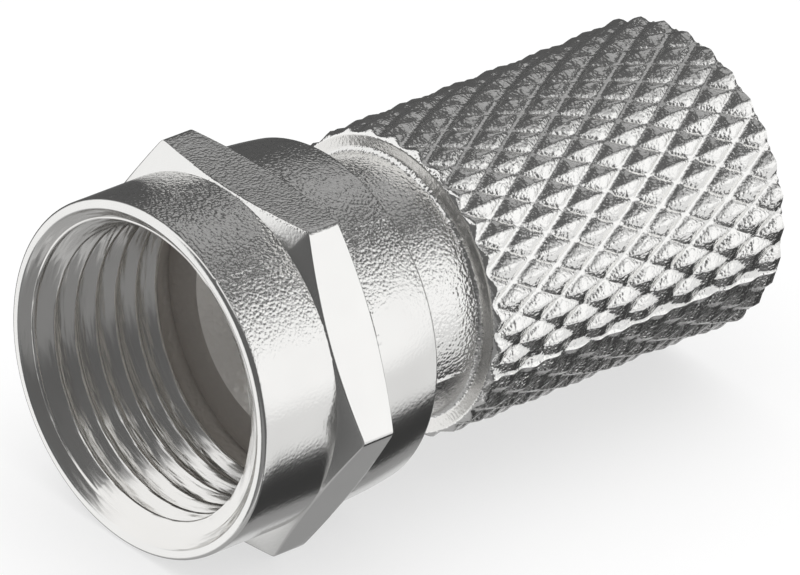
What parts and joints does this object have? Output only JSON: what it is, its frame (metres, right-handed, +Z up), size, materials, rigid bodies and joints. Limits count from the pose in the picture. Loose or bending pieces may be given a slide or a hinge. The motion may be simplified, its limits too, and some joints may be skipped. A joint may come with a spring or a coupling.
{
  "type": "f connector",
  "caption": "Twist-on coaxial plug: a hex coupling nut with an internal thread spins freely on a diamond-knurled sleeve that screws onto the cable's jacket.",
  "frame": {"origin": "on the surface that the part lies on, below the middle of its length and width", "axes": "+X along the axis from the nut's mouth to the cable end, +Z up, one flat of the nut facing straight down"},
  "size_m": [0.0216, 0.0128, 0.011],
  "materials": {
    "nut_nickel": "bright nickel plate over die-cast zinc, smooth flats and thread, fine cast grain on the round faces",
    "sleeve_nickel": "bright nickel plate over die-cast zinc, fine cast grain on the neck and on the knurl's diamonds"
  },
  "bodies": {
    "sleeve": {"knurled_sleeve": "sleeve_nickel"},
    "nut": {"coupling_nut": "nut_nickel"}
  },
  "joints": [
    {"name": "nut_spin", "type": "hinge", "parent": "sleeve", "child": "nut", "pos_m": [-0.00728, 0, 0.0055], "axis": [1, 0, 0], "continuous": true}
  ]
}
